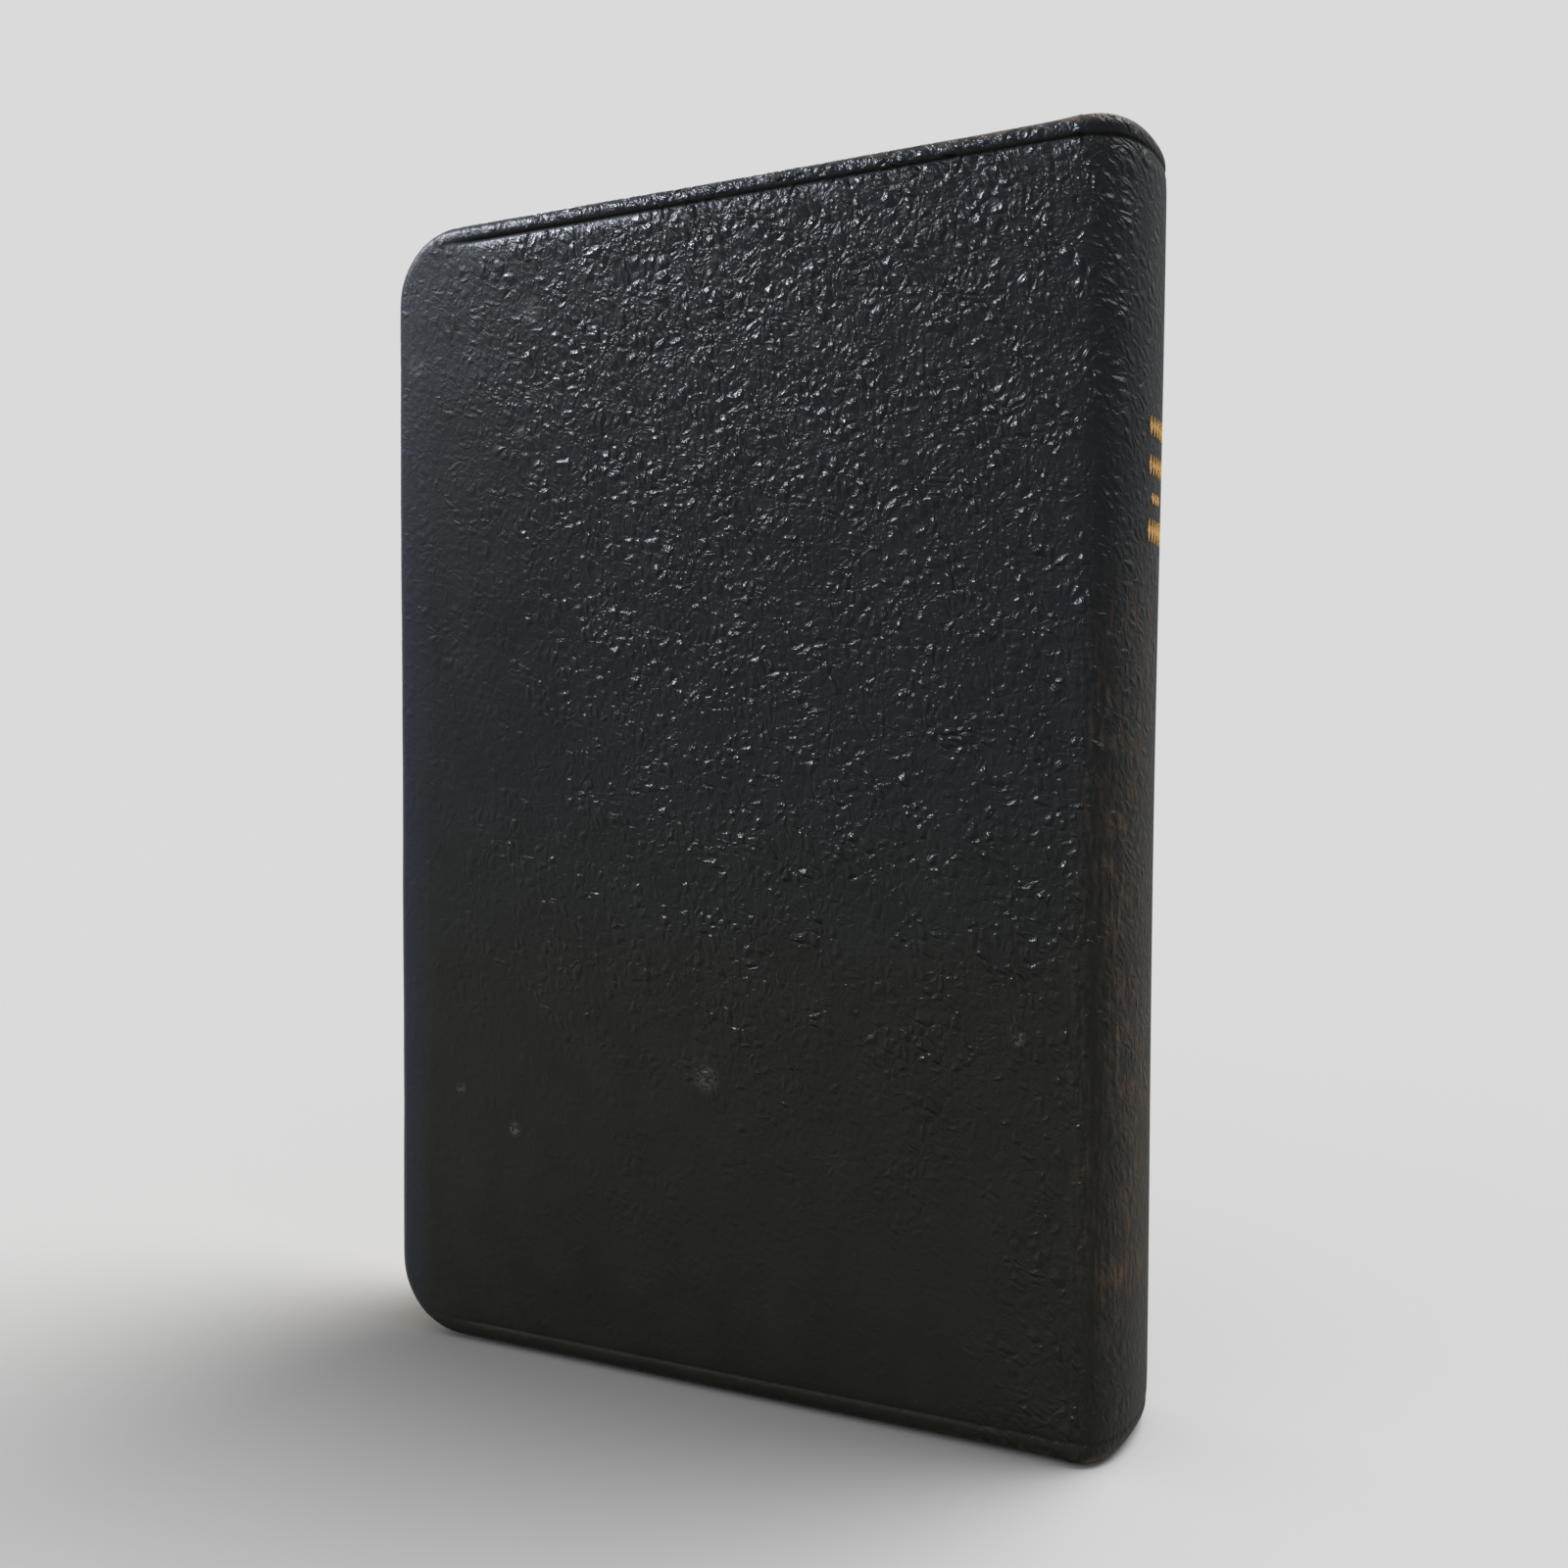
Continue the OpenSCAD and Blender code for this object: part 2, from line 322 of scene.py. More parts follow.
@dataclass(frozen=True)
class Leather:
    """Black goatskin with a pebbled grain, rubbed smooth at the tail and brown along the spine."""

    grain_mm: float = 1.15
    relief_mm: float = 0.36
    slant: float = -40.0
    cover_w_mm: float = 89.0
    spine_arc_mm: float = 25.5
    line_mm: float = 2.4
    height_mm: float = 140.0
    roughness: float = 0.31
    sheen_level: float = 0.14
    scuffs_mm: tuple[tuple[float, float, float, float], ...] = (
        (-69.7, 113.5, 1.0, 0.8), (-70.8, 27.6, 1.2, 0.7), (-43.7, 36.5, 2.4, 0.35), (-85.6, 122.9, 2.2, 0.35),
        (-68.2, 127.6, 2.6, 0.3), (-5.9, 44.3, 1.2, 0.4), (-79.0, 31.9, 1.1, 0.35))
    scuff_colour: COLOUR = (0.09, 0.085, 0.075)
    line_colour: COLOUR = (0.001, 0.001, 0.001)
    rubbed_colour: COLOUR = (0.088, 0.056, 0.034)

    def make(self) -> bpy.types.Material:
        """Builds the material from the attribute that holds the unrolled skin's own coordinates.

        Returns:
            The leather.
        """
        dye = Dye("black_goatskin")
        hide = self._hide(dye)
        patches = dye.noise(hide.place, 0.05, 3.0)
        soft = dye.noise(hide.place, 0.16, 2.0)

        height, tops = self._grain(dye, hide)
        kept = self._kept(hide, patches)
        fine = dye.noise(hide.place, 5.5, 4.0, 0.6)
        wrinkle = dye.noise(hide.place, 0.9, 2.0)
        normal = dye.bump(height * kept + fine * 0.08 + wrinkle * 0.12, self.relief_mm * MM)

        pressed = self._pressed(hide)
        rubbed = self._rubbed(dye, hide)
        scuffed = self._scuffed(dye, hide)
        colour = dye.mix(scuffed, self._colour(dye, hide, soft, rubbed), self.scuff_colour)
        colour = dye.mix(pressed, colour, self.line_colour)
        handled = hide.from_crown.rise(12.0, 4.0) * 0.26 + hide.from_fore.rise(26.0, 4.0) * 0.1
        dulled = handled + (rubbed + scuffed) * 0.25 + pressed * 0.4
        roughness = self.roughness - tops * 0.10 * kept + dulled + (soft - 0.5) * 0.1
        return dye.finish(Base_Color=colour, Roughness=roughness, Normal=normal, IOR=1.5,
                          Specular_IOR_Level=self.sheen_level)

    def _hide(self, dye: Dye) -> Hide:
        """Reads the skin's own coordinates."""
        skin = dye.place_mm("hide")
        from_crown = (dye.axis(skin, 0) - self.spine_arc_mm / 2).size()
        return Hide(skin, dye.axis(skin, 2), from_crown, self.cover_w_mm + self.spine_arc_mm / 2 - from_crown)

    def _grain(self, dye: Dye, hide: Hide) -> tuple[Value, Value]:
        """Pebbles parted by creases that run down towards the spine.

        Args:
            dye: The material.
            hide: Place on the skin.

        Returns:
            The height of the grain, and a mask of the pebbles' tops.
        """
        swirl = dye.node("ShaderNodeVectorMath", {"operation": "SUBTRACT"},
                         dye.noise(hide.place, 0.22, 2.0, out="Color"), (0.5, 0.5, 0.5))
        drifted = dye.added(hide.place, dye.scaled(swirl, 3.4))
        turned = dye.node("ShaderNodeMapping", {"vector_type": "TEXTURE"}, Vector=drifted,
                          Rotation=(0.0, math.radians(self.slant), 0.0), Scale=(1.0, 1.0, 1.55))
        jitter = dye.added(turned, dye.scaled(dye.noise(turned, 1.4, 2.0, out="Color"), 0.35))
        pebble = dye.cells(jitter, 1.0 / self.grain_mm, "DISTANCE_TO_EDGE")
        own = dye.axis(dye.cells(jitter, 1.0 / self.grain_mm, "F1", "Color"), 0)
        small = dye.cells(jitter, 2.3 / self.grain_mm, "DISTANCE_TO_EDGE")
        flow = dye.noise(dye.stretched(turned, (1.0, 1.0, 0.3)), 0.42, 2.0).rise(0.36, 0.64)
        tops = pebble.rise(0.0, 0.46)
        height = tops * (0.35 + own * 0.65) * (0.45 + flow * 0.55) + small.rise(0.0, 0.5) * 0.14
        return height, tops

    def _pressed(self, hide: Hide) -> Value:
        """Mask of the blind line along the head, which fades out towards the tail and the fore-edge."""
        from_middle = (hide.up - self.height_mm / 2).size()
        line = (from_middle - (self.height_mm / 2 - self.line_mm)).size().rise(0.42, 0.12)
        return line * (0.25 + hide.up.rise(30.0, 110.0) * 0.75) * hide.from_fore.rise(5.0, 13.0)

    def _kept(self, hide: Hide, patches: Value) -> Value:
        """Where the grain still stands: less at the tail and along the fore-edge, most of it by the spine.

        Args:
            hide: Place on the skin.
            patches: Slow noise.

        Returns:
            A mask from about 0.12 to 1.
        """
        drift = patches - 0.5
        worn = (hide.up + drift * 60.0 + hide.from_fore * 0.12).rise(18.0, 72.0)
        inner = (hide.from_fore + drift * 26.0).rise(4.0, 46.0)
        spine = hide.from_crown.rise(30.0, 14.0) * (0.5 + hide.from_crown.rise(2.0, 9.0) * 0.5)
        return (0.12 + 0.88 * (worn * (0.10 + 0.90 * inner))).most(spine * 0.85)

    def _rubbed(self, dye: Dye, hide: Hide) -> Value:
        """Mask of where the black is rubbed through to brown, along the spine and at its caps."""
        streaks = dye.noise(dye.stretched(hide.place, (1.3, 1.0, 0.25)), 1.1, 5.0, 0.65)
        crown = hide.from_crown.rise(15.0, 5.0) * hide.up.rise(6.0, 22.0) * hide.up.rise(104.0, 78.0)
        edge = hide.up.rise(138.6, 139.8).most(hide.up.rise(1.3, 0.2))
        chafed = dye.noise(hide.place, 0.7, 3.0, 0.6).rise(0.42, 0.62)
        caps = hide.from_crown.rise(46.0, 8.0) * edge * chafed
        worn = dye.noise(hide.place, 0.14, 3.0, 0.6).rise(0.36, 0.62)
        return (crown * (0.25 + worn * 0.65) * streaks.rise(0.42, 0.7) + caps * 0.8).least(1.0)

    def _scuffed(self, dye: Dye, hide: Hide) -> Value:
        """Mask of a few pale scuffs on the back cover and faint nicks over all the leather."""
        ragged = dye.noise(hide.place, 1.6, 4.0, 0.7)
        torn = ragged.rise(0.42, 0.6)
        total = dye.noise(hide.place, 0.9, 5.0, 0.75).rise(0.7, 0.78) * 0.3
        for way, height, reach, share in self.scuffs_mm:
            apart = dye.node("ShaderNodeVectorMath", {"operation": "DISTANCE"}, hide.place, (way, 0.0, height),
                             out="Value")
            total = total + (apart + (ragged - 0.5) * reach * 2.6).rise(reach, reach * 0.35) * torn * share
        return total.least(1.0)

    def _colour(self, dye: Dye, hide: Hide, soft: Value, rubbed: Value) -> Value:
        """Near black: cool at the head, olive at the tail and brown where rubbed, with a painted bluish sheen along
        the fore-edge.

        Args:
            dye: The material.
            hide: Place on the skin.
            soft: Slow noise.
            rubbed: Mask of the rubbed places.

        Returns:
            The colour.
        """
        cool = dye.mix(soft, (0.0045, 0.0060, 0.0068), (0.0080, 0.0105, 0.0125))
        warm = dye.mix(soft, (0.0070, 0.0068, 0.0036), (0.0115, 0.0112, 0.0064))
        black = dye.mix(hide.up.rise(95.0, 25.0) * 0.85, cool, warm)
        # Painted sheen: a lighter bluish tint along the fore-edge stands in for the soft light that the rolled edge
        # catches.
        with_painted_sheen = dye.mix(hide.from_fore.rise(7.0, 0.0) * 0.6, black, (0.015, 0.018, 0.027))
        return dye.mix(rubbed, with_painted_sheen, self.rubbed_colour)


@dataclass(frozen=True)
class Paper:
    """Plain laid or wove paper with a faint cloud and tooth."""

    name: str
    colour: COLOUR = (0.64, 0.58, 0.45)
    foxed: float = 0.35

    def make(self) -> bpy.types.Material:
        """Builds the material.

        Returns:
            The paper.
        """
        dye = Dye(self.name)
        where = dye.place_mm()
        cloud = dye.noise(where, 0.06, 3.0)
        spots = dye.noise(where, 0.35, 2.0).rise(0.66, 0.8) * self.foxed
        tooth = dye.noise(where, 7.0, 3.0)
        darker = tuple(c * 0.86 for c in self.colour)
        colour = dye.mix(spots, dye.mix(cloud, darker, self.colour), (0.5, 0.33, 0.17))
        return dye.finish(Base_Color=colour, Roughness=0.75 + tooth * 0.15, Normal=dye.bump(tooth, 0.03 * MM))


@dataclass(frozen=True)
class GiltEdge:
    """Burnished gold over the cut edges of thin leaves."""

    leaf_mm: float = 0.07

    def make(self) -> bpy.types.Material:
        """Builds the material from the attribute that counts across the leaves.

        Returns:
            The gilt edge.
        """
        dye = Dye("gilt_edge")
        across = dye.place_mm("leaf")
        lines = dye.axis(across, 1).ridges(self.leaf_mm)
        bundles = dye.noise(dye.stretched(across, (0.02, 3.0, 0.02)), 1.0, 3.0)
        rubbed = dye.noise(across, 0.25, 4.0, 0.6).rise(0.52, 0.72)
        gold = dye.mix(bundles, (0.36, 0.22, 0.055), (0.60, 0.41, 0.14))
        colour = dye.mix(rubbed * 0.55, gold, (0.42, 0.32, 0.19))
        return dye.finish(Base_Color=colour, Metallic=0.85 - rubbed * 0.5, Roughness=0.36 + rubbed * 0.25,
                          Normal=dye.bump(lines * 0.5 + bundles, 0.02 * MM))


@dataclass(frozen=True)
class Foil:
    """Worn gold leaf pressed into the grain."""

    def make(self) -> bpy.types.Material:
        """Builds the material.

        Returns:
            The foil.
        """
        dye = Dye("gold_foil")
        where = dye.place_mm()
        worn = dye.noise(where, 2.4, 4.0, 0.6).rise(0.5, 0.66)
        pits = dye.noise(where, 4.0, 2.0)
        colour = dye.mix(worn * 0.75, (0.72, 0.43, 0.14), (0.12, 0.06, 0.03))
        return dye.finish(Base_Color=colour, Metallic=0.9 - worn * 0.6, Roughness=0.34 + worn * 0.3,
                          Normal=dye.bump(pits, 0.05 * MM))


@dataclass(frozen=True)
class Weave:
    """A plain woven cloth or tape, from an open mull to a tight linen."""

    name: str
    pitch_mm: float
    thread: COLOUR
    gap: COLOUR

    def make(self) -> bpy.types.Material:
        """Builds the material.

        Returns:
            The cloth.
        """
        dye = Dye(self.name)
        where = dye.place_mm()
        threads = dye.axis(where, 1).ridges(self.pitch_mm).most(dye.axis(where, 2).ridges(self.pitch_mm))
        slub = dye.noise(where, 1.5, 3.0)
        colour = dye.mix(threads * (0.7 + slub * 0.5), self.gap, self.thread)
        return dye.finish(Base_Color=colour, Roughness=0.85 + slub * 0.1, Normal=dye.bump(threads, 0.12 * MM))


@dataclass(frozen=True)
class Silk:
    """Silk wound round a cord in two colours by turns."""

    turn_mm: float = 1.1
    thread_mm: float = 0.16

    def make(self) -> bpy.types.Material:
        """Builds the material.

        Returns:
            The wound silk.
        """
        dye = Dye("wound_silk")
        across = dye.axis(dye.place_mm(), 1)
        bands = across.wave(2 * self.turn_mm).rise(-0.2, 0.2)
        threads = across.ridges(self.thread_mm)
        colour = dye.mix(bands, (0.72, 0.64, 0.46), (0.30, 0.035, 0.03))
        return dye.finish(Base_Color=colour, Roughness=0.42 + threads * 0.1, Normal=dye.bump(threads, 0.08 * MM))


@dataclass(frozen=True)
class Board:
    """Pressed grey-brown board with flecks of fibre."""

    name: str
    colour: COLOUR = (0.3, 0.23, 0.15)

    def make(self) -> bpy.types.Material:
        """Builds the material.

        Returns:
            The board.
        """
        dye = Dye(self.name)
        where = dye.place_mm()
        flecks = dye.noise(where, 2.2, 4.0, 0.7)
        layers = dye.noise(dye.stretched(where, (0.2, 6.0, 0.2)), 1.0, 2.0)
        dark = tuple(c * 0.6 for c in self.colour)
        colour = dye.mix(flecks.rise(0.35, 0.7), dark, self.colour)
        return dye.finish(Base_Color=colour, Roughness=0.8 + layers * 0.15,
                          Normal=dye.bump(flecks + layers, 0.05 * MM))


# ---------------------------------------------------------------- workbench


class Piece:
    """One new piece: a primitive at its size and place, shaped in edit mode."""

    def __init__(self, name: str, made: Callable[[], Any]) -> None:
        """Adds the primitive and freezes its place into its mesh.

        Args:
            name: Name of the piece.
            made: Adds the primitive.
        """
        if bpy.context.object and bpy.context.object.mode != "OBJECT":
            bpy.ops.object.mode_set(mode="OBJECT")
        bpy.ops.object.select_all(action="DESELECT")
        made()
        self.body = bpy.context.object
        self.body.name = name
        bpy.ops.object.transform_apply(location=True, rotation=True, scale=True)

    @classmethod
    def block(cls, name: str, low: Sequence[float], high: Sequence[float]) -> "Piece":
        """Starts from a cube stretched between two corners.

        Args:
            name: Name of the piece.
            low: Lowest corner.
            high: Highest corner.

        Returns:
            The piece.
        """
        first, last = Vector(low), Vector(high)
        return cls(name, lambda: bpy.ops.mesh.primitive_cube_add(
            size=1, location=(first + last) / 2, scale=last - first))

    def _edit(self, kind: str) -> Any:
        """Goes into edit mode with nothing selected and returns the edit mesh."""
        if self.body.mode != "EDIT":
            bpy.ops.object.mode_set(mode="EDIT")
        bpy.ops.mesh.select_mode(type=kind)
        bpy.ops.mesh.select_all(action="DESELECT")
        return bmesh.from_edit_mesh(self.body.data)

    def choose(self, kind: str, test: Callable[[Any], bool]) -> "Piece":
        """Selects what passes a test.

        Args:
            kind: VERT, EDGE or FACE.
            test: Tells whether an element is wanted.

        Returns:
            This piece.
        """
        mesh = self._edit(kind)
        mesh.normal_update()
        for element in {"VERT": mesh.verts, "EDGE": mesh.edges, "FACE": mesh.faces}[kind]:
            if test(element):
                element.select_set(True)
        mesh.select_flush_mode()
        bmesh.update_edit_mesh(self.body.data)
        return self

    def whole(self) -> "Piece":
        """Selects everything."""
        return self.choose("VERT", lambda _: True)

    def bevel(self, width: float, steps: int, affect: str = "EDGES") -> "Piece":
        """Bevels what is selected."""
        bpy.ops.mesh.bevel(offset=width, segments=steps, affect=affect, clamp_overlap=True)
        return self

    def slide(self, move: Sequence[float]) -> "Piece":
        """Moves what is selected."""
        bpy.ops.transform.translate(value=move)
        return self

    def stretch(self, factors: Sequence[float], centre: Sequence[float]) -> "Piece":
        """Scales what is selected about a point."""
        bpy.ops.transform.resize(value=factors, center_override=centre)
        return self

    def crease(self) -> "Piece":
        """Keeps the selected edges sharp under subdivision."""
        bpy.ops.transform.edge_crease(value=1.0)
        return self

    def slices(self, axis: int, places: Sequence[float]) -> "Piece":
        """Cuts an edge loop across the piece at each place along an axis.

        Args:
            axis: 0, 1 or 2.
            places: Where to cut.

        Returns:
            This piece.
        """
        normal = [0.0, 0.0, 0.0]
        normal[axis] = 1.0
        for place in places:
            self._edit("VERT")
            bpy.ops.mesh.select_all(action="SELECT")
            point = [0.0, 0.0, 0.0]
            point[axis] = place
            bpy.ops.mesh.bisect(plane_co=point, plane_no=normal)
        return self

    def modified(self, kind: str, **settings: Any) -> "Piece":
        """Adds a modifier and applies it.

        Args:
            kind: Type of the modifier.
            settings: Its properties.

        Returns:
            This piece.
        """
        self.down()
        modifier = self.body.modifiers.new(kind.title(), kind)
        for key, value in settings.items():
            setattr(modifier, key, value)
        bpy.ops.object.modifier_apply(modifier=modifier.name)
        return self

    def down(self) -> bpy.types.Object:
        """Leaves edit mode and returns the object, alone selected."""
        if self.body.mode == "EDIT":
            bpy.ops.object.mode_set(mode="OBJECT")
        bpy.ops.object.select_all(action="DESELECT")
        self.body.select_set(True)
        bpy.context.view_layer.objects.active = self.body
        return self.body

    def smooth(self, degrees: float = 40.0) -> "Piece":
        """Shades the piece smooth, with sharp edges above an angle."""
        self.down()
        bpy.ops.object.shade_smooth_by_angle(angle=math.radians(degrees))
        return self

    def note(self, name: str, value: Callable[[Vector], Vector]) -> "Piece":
        """Writes a vector for every point into an attribute.

        Args:
            name: Name of the attribute.
            value: Works out the vector from the point's place.

        Returns:
            This piece.
        """
        self.down()
        mesh = self.body.data
        attribute = mesh.attributes.new(name, "FLOAT_VECTOR", "POINT")
        for vertex, item in zip(mesh.vertices, attribute.data):
            item.vector = value(vertex.co)
        return self

    def shift(self, move: Callable[[Vector], Vector]) -> "Piece":
        """Moves every point by a rule.

        Args:
            move: Works out the new place from the old.

        Returns:
            This piece.
        """
        self.down()
        for vertex in self.body.data.vertices:
            vertex.co = move(vertex.co.copy())
        return self

    def dress(self, *materials: bpy.types.Material, second: Callable[[Any], bool] | None = None) -> "Piece":
        """Gives the piece its materials.

        Args:
            materials: One or two materials.
            second: Tells which faces take the second.

        Returns:
            This piece.
        """
        self.down()
        for material in materials:
            self.body.data.materials.append(material)
        for face in self.body.data.polygons:
            face.material_index = int(bool(second and second(face)))
        return self


def at_x(x: float) -> Callable[[Any], bool]:
    """Test for an edge that lies all at one x."""
    return lambda edge: all(near(vertex.co.x, x) for vertex in edge.verts)


def level(edge: Any, axis: int) -> bool:
    """Tells whether both ends of an edge are at the same place along an axis."""
    return near(edge.verts[0].co[axis], edge.verts[1].co[axis])


def stand_in(piece: bpy.types.Object, slot: str, *nodes: str) -> None:
    """Hides the frame nodes that a piece stands for."""
    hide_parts(*nodes)


def near(first: float, second: float, slack: float = 0.02 * MM) -> bool:
    """Tells whether two lengths are the same to within a slack."""
    return abs(first - second) < slack


def steps(low: float, high: float, pitch: float) -> list[float]:
    """Evenly spaced places strictly between two ends, about one pitch apart."""
    count = max(1, round((high - low) / pitch))
    return [low + (high - low) * k / count for k in range(1, count)]


# ---------------------------------------------------------------- the book's form


@dataclass
class Form:
    """Sizes that every piece of the book is fitted to."""

    height: float
    half_width: float
    half_thickness: float
    joint_x: float
    cover_t: float = 2.2 * MM
    corner_r: float = 9.0 * MM
    page_corner_r: float = 8.0 * MM
    line_inset: float = 2.4 * MM
    fold_r: float = 8.24 * MM
    lean_head: float = 0.1 * MM
    lean_tail: float = -1.25 * MM
    fullness: float = 2.3
    pinch: float = 0.3 * MM
    cap_reach: float = 6.0 * MM
    cap_dip: float = 0.7 * MM
    tail_lift: float = 0.5 * MM
    head_drop: float = 0.3 * MM
    skin_depth: float = 0.8
    bow: float = field(init=False)
    girth: list[float] = field(init=False)

    def __post_init__(self) -> None:
        """Measures the way round the spine, a half ellipse from joint to joint."""
        self.bow = self.half_width - self.joint_x
        self.girth = [0.0]
        for step in range(180):
            turn = math.radians(step - 89.5)
            pace = math.hypot(self.bow * math.sin(turn), self.half_thickness * math.cos(turn))
            self.girth.append(self.girth[-1] + pace * math.radians(1.0))

    @classmethod
    def read(cls, joints: Sequence[dict[str, Any]]) -> "Form":
        """Reads the sizes from the frame.

        Args:
            joints: The frame's joints.

        Returns:
            The form.
        """
        low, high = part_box("back_cover_leather")
        hinge = next(joint for joint in joints if joint["name"] == "back_cover_hinge")
        return cls(height=high.z, half_width=-low.x, half_thickness=-low.y, joint_x=hinge["pos_m"][0])

    def unrolled(self, point: Vector) -> Vector:
        """Place on the unrolled skin: way round the book, depth under the surface, height.

        Args:
            point: Place on the closed book.

        Returns:
            The unrolled place. It starts at the back joint and grows towards the front.
        """
        if point.x <= self.joint_x:
            way = point.x - self.joint_x
            return Vector((way if point.y < 0 else self.girth[-1] - way, self.half_thickness - abs(point.y), point.z))
        across, out = point.y / self.half_thickness, (point.x - self.joint_x) / self.bow
        degrees = min(179.999, max(0.0, math.degrees(math.atan2(across, out)) + 90.0))
        low = int(degrees)
        way = self.girth[low] + (self.girth[low + 1] - self.girth[low]) * (degrees - low)
        return Vector((way, (1.0 - math.hypot(across, out)) * self.half_thickness * self.skin_depth, point.z))

    def settled(self, point: Vector) -> Vector:
        """Where a point of the round spine lies once the book has leaned and its caps have worn.

        Args:
            point: Place on the plain arc.

        Returns:
            The settled place. Nothing moves at the joints.
        """
        across, out = point.y / self.half_thickness, max(0.0, (point.x - self.joint_x) / self.bow)
        reach = math.hypot(across, out)
        full = ((out / reach) ** self.fullness + abs(across / reach) ** self.fullness) ** (-1 / self.fullness)
        crown = out * full
        share = point.z / self.height
        waist = self.pinch * math.sin(math.pi * min(1.0, share * 1.1)) ** 2
        lean = self.lean_tail + (self.lean_head - self.lean_tail) * share - waist
        eased = crown * crown
        head = max(0.0, 1 - (self.height - point.z) / self.cap_reach) ** 2
        tail = max(0.0, 1 - point.z / self.cap_reach) ** 2
        rise = eased * (self.tail_lift * tail - self.head_drop * head)
        lean -= self.cap_dip * eased * (head ** 2 + tail ** 2)
        return Vector((self.joint_x + crown * self.bow + crown * lean, point.y * full, point.z + rise))

    def fold_x(self, y: float) -> float:
        """How far back the folds of the pages reach at a depth in the book."""
        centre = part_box("sewn_folds")[1].x - self.fold_r
        return centre + math.sqrt(self.fold_r ** 2 - y * y)


@dataclass
class Binding:
    """The leather: a skin over each cover and one over the spine, meeting at the joints."""

    form: Form
    leather: bpy.types.Material
    card: bpy.types.Material
    outer_roll: float = 1.55 * MM
    inner_roll: float = 0.55 * MM
    grid: float = 4.0 * MM
    flap: float = 3.0 * MM
    line_half: float = 0.34 * MM
    line_depth: float = 0.5 * MM
    shell_t: float = 1.3 * MM
    fine_grid: float = 1.0 * MM
    tail_wear: float = 0.45
    limpness: float = 0.3 * MM
    limp_fade: float = 12.0 * MM
    limp_pitch: float = 0.028
    card_t: float = 0.7 * MM
    card_gap: float = 0.05 * MM
    card_roll: float = 0.2 * MM
    card_start: float = 1.4 * MM

    def lines(self) -> list[float]:
        """Heights of the two blind lines."""
        return [self.form.line_inset, self.form.height - self.form.line_inset]

    def _press(self, line: float) -> float:
        """How deep a blind line is pressed. The tail's has nearly worn away."""
        return self.line_depth * (1.0 if line > self.form.height / 2 else self.tail_wear)

    def _cuts_up(self) -> list[float]:
        """Heights of the edge loops across a skin, with three at each blind line."""
        low, high = self.lines()
        loops = steps(low + self.line_half, high - self.line_half, self.grid)
        for line in (low, high):
            loops += [line - self.line_half, line, line + self.line_half]
        return sorted(loops)

    def cover(self, side: Side) -> bpy.types.Object:
        """Models the leather over one cover: rolled edges, blind lines and a thin flap at the joint.

        Args:
            side: Which cover.

        Returns:
            The skin.
        """
        form = self.form
        outer = side.value * form.half_thickness
        inner = side.value * (form.half_thickness - form.cover_t)
        flap_x = form.joint_x - self.flap
        flap_cuts = steps(flap_x, form.joint_x, self.fine_grid)
        at_joint = at_x(form.joint_x)
        at_fore = at_x(-form.half_width)
        skin = Piece.block(f"{side.word}_cover_skin", (-form.half_width, min(outer, inner), 0.0),
                           (form.joint_x, max(outer, inner), form.height))
        skin.choose("EDGE", lambda e: at_fore(e) and level(e, 2)).bevel(form.corner_r, 10)
        for face_y, roll, count in ((outer, self.outer_roll, 5), (inner, self.inner_roll, 3)):
            skin.choose("EDGE", lambda e, y=face_y: all(near(v.co.y, y) for v in e.verts)
                        and not at_joint(e)).bevel(roll, count)
        skin.slices(0, steps(-form.half_width, flap_x, self.grid) + [flap_x])
        skin.slices(0, flap_cuts)
        skin.slices(2, self._cuts_up())
        thin = self.shell_t / form.cover_t
        for slice_x in [form.joint_x] + flap_cuts:
            share = (form.joint_x - slice_x) / self.flap
            skin.choose("VERT", lambda v, x=slice_x: near(v.co.x, x))
            skin.stretch((1.0, thin + (1 - thin) * share, 1.0), (slice_x, outer, 0.0))
        for line in self.lines():
            skin.choose("VERT", lambda v, z=line: near(v.co.z, z) and near(v.co.y, outer, 0.2 * MM)
                        and v.co.x > form.corner_r - form.half_width)
            skin.slide((0.0, -side.value * self._press(line), 0.0))
        skin.choose("EDGE", at_joint).crease()
        skin.modified("SUBSURF", levels=2, render_levels=2)
        self._soften(skin)
        skin.note("hide", form.unrolled).smooth(60).dress(self.leather)
        return skin.down()

    def _arch(self, name: str, reach: float, wall: float, low: float, high: float, roll: float) -> Piece:
        """Spins a wall's section from the back joint to the front one and flattens it to the bow of the spine.

        Args:
            name: Name of the piece.
            reach: How far its outer side is from the middle of the book at the joints.
            wall: Its thickness at the joints.
            low: Height of its lower end.
            high: Height of its upper end.
            roll: Radius of its outer corners.

        Returns:
            The arch, an open-ended half ellipse.
        """
        form = self.form
        start = Vector((form.joint_x, wall / 2 - reach, (low + high) / 2))
        arch = Piece(name, lambda: bpy.ops.mesh.primitive_plane_add(
            size=1, location=start, rotation=(0.0, RIGHT_ANGLE, 0.0)))
        arch.whole().stretch((1.0, wall, high - low), start)
        arch.choose("VERT", lambda v: near(v.co.y, -reach)).bevel(roll, 6, "VERTICES")
        arch.slices(2, [z for z in self._cuts_up() if low + roll < z < high - roll])
        arch.choose("FACE", lambda f: True)
        bpy.ops.mesh.spin(steps=36, angle=math.pi, center=(form.joint_x, 0.0, 0.0), axis=(0, 0, -1))
        arch.whole()
        bpy.ops.mesh.remove_doubles(threshold=0.001 * MM)
        bpy.ops.mesh.normals_make_consistent(inside=False)
        return arch.whole().stretch((form.bow / form.half_thickness, 1.0, 1.0), (form.joint_x, 0.0, 0.0))

